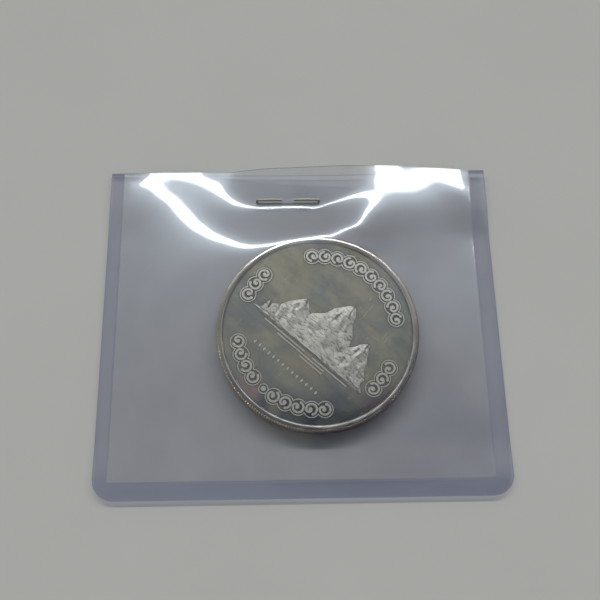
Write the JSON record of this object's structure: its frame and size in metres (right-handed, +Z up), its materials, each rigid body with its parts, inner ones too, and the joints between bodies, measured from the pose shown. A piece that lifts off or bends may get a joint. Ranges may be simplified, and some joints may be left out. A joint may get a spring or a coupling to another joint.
{
  "type": "silver round in a stapled clear sleeve",
  "caption": "Struck silver round with a reeded edge, scroll border and mountain picture, lying in a flat clear welded sleeve closed by a staple.",
  "frame": {"origin": "on the surface that the sleeve lies on, under the middle of the sleeve", "axes": "+X across the sleeve, +Y towards the open mouth with the staple, +Z up out of the front sheet"},
  "size_m": [0.0762, 0.0654, 0.0047],
  "materials": {
    "silver": "struck silver, mirror-like field with satin relief and a polished rim",
    "clear_sheet": "clear gloss sheet with a faint lilac tint",
    "staple_wire": "drawn steel wire, dull grey"
  },
  "bodies": {
    "root": {"coin": "silver", "sleeve": "clear_sheet", "staple": "staple_wire"}
  },
  "joints": []
}
